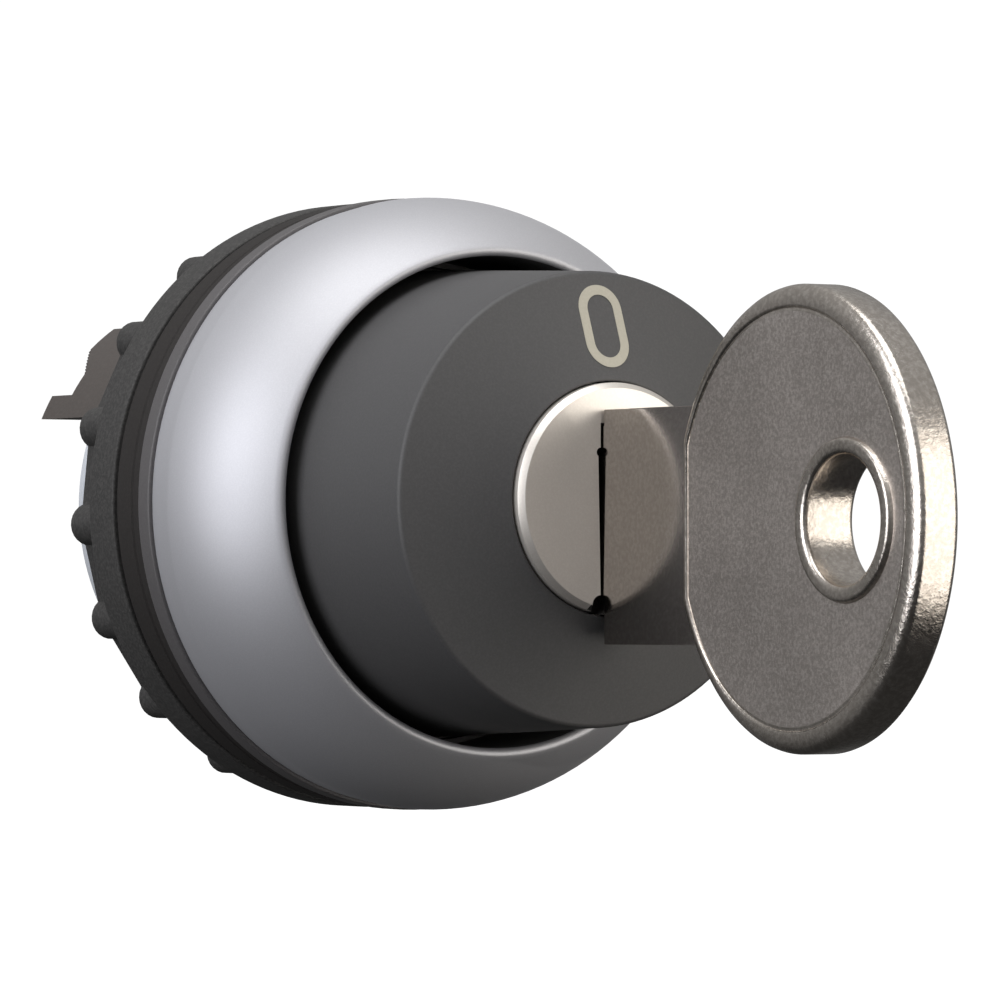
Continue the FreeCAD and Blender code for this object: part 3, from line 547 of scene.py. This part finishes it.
def key_head():
    """Oval head: crowned border, a fine step round the flat, and the cut edge to the shank."""
    side_half = 0.72
    deselect_all()
    bpy.ops.mesh.primitive_circle_add(vertices=200, radius=MM, fill_type="NGON",
                                      location=(-side_half * MM, KEY_CENTRE * MM, KEY_MIDDLE * MM),
                                      rotation=(0, math.pi / 2, 0))
    head = bpy.context.object
    head.name = "key_head"
    bpy.ops.object.transform_apply(location=True, rotation=True, scale=True)
    edit(head)
    bpy.ops.mesh.select_all(action="SELECT")
    centre = Vector((-side_half, KEY_CENTRE, KEY_MIDDLE)) * MM
    bpy.ops.transform.resize(value=(1, HEAD_SEMI_Y, HEAD_SEMI_Z), center_override=centre)
    bpy.ops.mesh.bisect(plane_co=(0, KEY_EDGE * MM, 0), plane_no=(0, 1, 0), clear_outer=True)
    bpy.ops.mesh.select_all(action="SELECT")
    bpy.ops.mesh.extrude_region_move(TRANSFORM_OT_translate={"value": (2 * side_half * MM, 0, 0)})
    bpy.ops.mesh.select_all(action="SELECT")
    bpy.ops.mesh.normals_make_consistent(inside=False)

    length = KEY_EDGE - (KEY_CENTRE - HEAD_SEMI_Y)
    # Each step: how far the outline has shrunk at the round side and at the cut side, and its height.
    steps = [(0.05, 0.02, 0.88), (0.15, 0.06, 1.0), (0.34, 0.12, 1.1), (0.6, 0.2, 1.165),
             (0.9, 0.3, 1.19), (1.0, 0.36, 1.17), (1.06, 0.4, 1.1), (1.14, 0.46, 1.1),
             (1.22, 0.52, 1.14)]
    for side in (-1, 1):
        before, cut_before, height_before = 0.0, 0.0, side_half
        pick_faces(head, lambda middle, normal: normal.x * side > 0.99)
        for round_side, cut_side, height in steps:
            now = length - before - cut_before
            shrink, cut_shrink = round_side - before, cut_side - cut_before
            anchor_y = KEY_EDGE - cut_before - now * cut_shrink / (shrink + cut_shrink)
            bpy.ops.mesh.extrude_region_move(
                TRANSFORM_OT_translate={"value": (side * (height - height_before) * MM, 0, 0)})
            bpy.ops.transform.resize(
                value=(1, (now - shrink - cut_shrink) / now,
                       (HEAD_SEMI_Z - round_side) / (HEAD_SEMI_Z - before)),
                center_override=Vector((0, anchor_y, KEY_MIDDLE)) * MM)
            before, cut_before, height_before = round_side, cut_side, height
    settle()
    subtract(head, rod("hole", 3.2, (-3, EYE_Y, EYE_Z), (3, EYE_Y, EYE_Z), 96))
    paint(head, key_polish)
    head.data.materials.append(key_flat)
    for polygon in head.data.polygons:
        flat = abs(polygon.normal.x) > 0.99
        polygon.material_index = int(flat and polygon.area > 5 * MM * MM)
    finish_piece(head, "key", "key_nickel", None, "key")


def key_eyelet():
    """Raised rim round the hole, on both faces, with its two edges rounded."""
    reach, inner, outer = 1.4, 2.9, 3.6
    piece = turned("key_eyelet", [
        (inner, -reach, 0.3), (outer, -reach, 0.22), (outer + 0.12, -1.05), (outer, -0.8), (outer, 0.8),
        (outer + 0.12, 1.05), (outer, reach, 0.22), (inner, reach, 0.3)],
        place=lambda radius, x: (x, EYE_Y, EYE_Z + radius), centre=(0, EYE_Y, EYE_Z), axis=(1, 0, 0))
    finish_piece(piece, "key", "key_nickel", key_polish, "key")


def grip_nut():
    """Ring nut: round flange towards the panel, flats behind it, and a half-round lobe per flat."""
    front, rear = NUT_LOW.y, NUT_HIGH.y
    flange_rear, flange_r = front + 2.45, NUT_HIGH.x
    lobe_r, tip_r, count = 1.05, 14.6, 18
    first = math.radians(184.2)
    lug_room_r, washer_seat_r = LUG_R + 0.1, 13.3
    flange = turned("nut_flange", [
        (NUT_BORE_R, front + 1.25), (lug_room_r, front + 1.25), (lug_room_r, front + 0.6),
        (washer_seat_r, front + 0.6), (washer_seat_r, front), (flange_r, front, 0.15),
        (flange_r, flange_rear, 0.22), (NUT_BORE_R, flange_rear)])
    step = 2 * math.pi / count
    points = []
    for number in range(count):
        out = Vector((math.cos(first + number * step), math.sin(first + number * step)))
        along = Vector((-out.y, out.x))
        for bend in range(-5, 6):
            angle = math.radians(72) * bend / 5
            points.append(out * (tip_r - lobe_r + lobe_r * math.cos(angle))
                          + along * lobe_r * math.sin(angle))
    body = slab("nut_grip", points, lambda x, z: (x, flange_rear - 0.1, z),
                (0, rear - flange_rear + 0.1, 0))
    bevel(body, 0.16, 3, 60)
    subtract(body, rod("bore", NUT_BORE_R, (0, front, 0), (0, rear + 1, 0), SEGMENTS))
    nut = join("grip_nut", [flange, body])
    finish_piece(nut, "nut", "nut_black", nut_black, "ring_nut")


def barrel():
    """Barrel with its web and neck, a helical thread for the nut and the anti-rotation lug."""
    top_r, root_r = THREAD_R, THREAD_ROOT_R
    front, rear, web = BARREL_LOW.y, BARREL_HIGH.y, FLANGE_LOW.y
    web_rear, neck_rear, groove_r = web + WEB_T, -2.5, NECK_R - 0.5
    core = turned("barrel", [
        (WEB_BORE_R, web), (SHELL_BORE_R, web), (SHELL_BORE_R, front), (NECK_R, front, 0.2),
        (NECK_R, front + 0.6), (groove_r, front + 0.6), (groove_r, front + 1.6), (NECK_R, front + 1.6),
        (NECK_R, neck_rear), (top_r, neck_rear), (top_r, 0.3), (root_r, 0.6), (root_r, rear - 0.9),
        (top_r, rear - 0.6), (top_r, rear, 0.2), (BARREL_BORE_R, rear, 0.15), (BARREL_BORE_R, web_rear),
        (WEB_BORE_R, web_rear)])
    ridge = [(root_r - 0.05, 0.45), (top_r - 0.02, 0.85), (top_r - 0.02, 1.1), (root_r - 0.05, 1.5)]
    thread = draw_outline("thread", ridge, across_y)
    leave_edit()
    apply_modifier(thread, "SCREW", axis="Y", angle=2 * math.pi, screw_offset=THREAD_PITCH * MM,
                   iterations=THREAD_TURNS, steps=96, render_steps=96)
    edit(thread)
    bpy.ops.mesh.select_all(action="SELECT")
    bpy.ops.mesh.fill_holes(sides=8)
    settle()
    lug = brick("lug", (-LUG_HALF, -2.45, NECK_R), (LUG_HALF, 1.2, BARREL_HIGH.z))
    bevel(lug, 0.25)
    whole = join("barrel", [core, thread, lug])
    finish_piece(whole, "housing", "barrel_silver", barrel_silver, "threaded_barrel")
    stain(whole, head_black, lambda middle, normal: middle.y < web)


front_ring()
flange_rim()
gasket()
head_shell()
lock_core()
key_blade()
key_head()
key_eyelet()
grip_nut()
barrel()

CAD_FINISHES = {
    "position_marks": mark_cream, "coupling_collar": claw_brown, "lock_shell": cast_zinc,
    "lock_washer": spring_steel, "head_screws": spring_steel,
    "head_seal": gasket_rubber, "plug_seal": gasket_rubber,
    "plug_circlip": spring_steel, "wafer_springs": spring_steel, "cam_rotor": cam_plastic,
    "rotor_screw": spring_steel, "detent_spring": spring_steel, "plunger_left": cam_plastic,
    "plunger_right": cam_plastic, "plunger_spring_left": spring_steel,
    "plunger_spring_right": spring_steel,
}
CAD_FINISHES.update({f"wafer_{number + 1}": wafer_brass for number in range(WAFERS)})
for name, material in CAD_FINISHES.items():
    paint(nodes[name], material)


# ---- studio -------------------------------------------------------------------------
def bright_surface(name, colour, glow):
    """A matt white material that is lit and glows a little, for the floor."""
    material = bpy.data.materials.new(name)
    material.use_nodes = True
    bsdf = material.node_tree.nodes["Principled BSDF"]
    bsdf.inputs["Base Color"].default_value = (*colour, 1)
    bsdf.inputs["Roughness"].default_value = 0.95
    bsdf.inputs["Emission Color"].default_value = (1, 1, 1, 1)
    bsdf.inputs["Emission Strength"].default_value = glow
    return material


def studio():
    """Pale floor, a white backdrop, and soft surroundings that are lighter above than below."""
    deselect_all()
    bpy.ops.mesh.primitive_plane_add(size=8, location=(0, 0, FLOOR_Z))
    floor = bpy.context.object
    floor.name = "floor"
    paint(floor, bright_surface("pale_floor", (0.85, 0.85, 0.85), 0.8))
    floor.visible_glossy = False
    floor.visible_diffuse = False

    world = bpy.data.worlds.new("studio")
    bpy.context.scene.world = world
    world.use_nodes = True
    tree = world.node_tree
    tree.nodes.clear()
    place = add(tree, "ShaderNodeTexCoord")
    height = add(tree, "ShaderNodeSeparateXYZ")
    tree.links.new(place.outputs["Generated"], height.inputs[0])
    ramp = add(tree, "ShaderNodeMapRange")
    for label, value in (("From Min", -0.5), ("From Max", 0.7), ("To Min", 0.035), ("To Max", 0.42)):
        ramp.inputs[label].default_value = value
    tree.links.new(height.outputs["Z"], ramp.inputs["Value"])
    around = add(tree, "ShaderNodeBackground")
    tree.links.new(ramp.outputs["Result"], around.inputs["Color"])
    backdrop = add(tree, "ShaderNodeBackground", Color=(1, 1, 1, 1), Strength=1.05)
    path = add(tree, "ShaderNodeLightPath")
    mix = add(tree, "ShaderNodeMixShader")
    out = add(tree, "ShaderNodeOutputWorld")
    tree.links.new(path.outputs["Is Camera Ray"], mix.inputs[0])
    tree.links.new(around.outputs[0], mix.inputs[1])
    tree.links.new(backdrop.outputs[0], mix.inputs[2])
    tree.links.new(mix.outputs[0], out.inputs["Surface"])
    bpy.context.scene.view_settings.view_transform = "Standard"


def softbox(name, place, width, height, power, colour=(1, 1, 1)):
    """A rectangular lamp that faces the switch."""
    deselect_all()
    bpy.ops.object.light_add(type="AREA", location=place)
    light = bpy.context.object
    light.name = name
    light.data.shape = "RECTANGLE"
    light.data.size = width
    light.data.size_y = height
    light.data.energy = power
    light.data.color = colour
    aim = Vector((0, -0.02, 0)) - Vector(place)
    light.rotation_euler = aim.to_track_quat("-Z", "Y").to_euler()


def camera():
    """A long lens at the left of the axis, a little below it."""
    spot = Vector((-171.26, -285.66, -5.25)) * MM
    forward = Vector((0.5295, 0.8481, 0.0165))
    bpy.ops.object.camera_add(location=spot)
    eye = bpy.context.object
    eye.rotation_euler = forward.to_track_quat("-Z", "Y").to_euler()
    eye.data.sensor_width = 36
    eye.data.lens = 242.96
    eye.data.clip_start = 0.01
    bpy.context.scene.camera = eye


studio()
softbox("left_softbox", (-0.62, -0.06, 0.13), 0.5, 0.6, 3.7, (0.95, 0.96, 1.0))
softbox("top_softbox", (-0.10, -0.16, 0.62), 0.6, 0.5, 3.0)
softbox("front_right_softbox", (0.46, -0.74, 0.0), 0.8, 1.0, 5.6, (1.0, 0.95, 0.88))
camera()
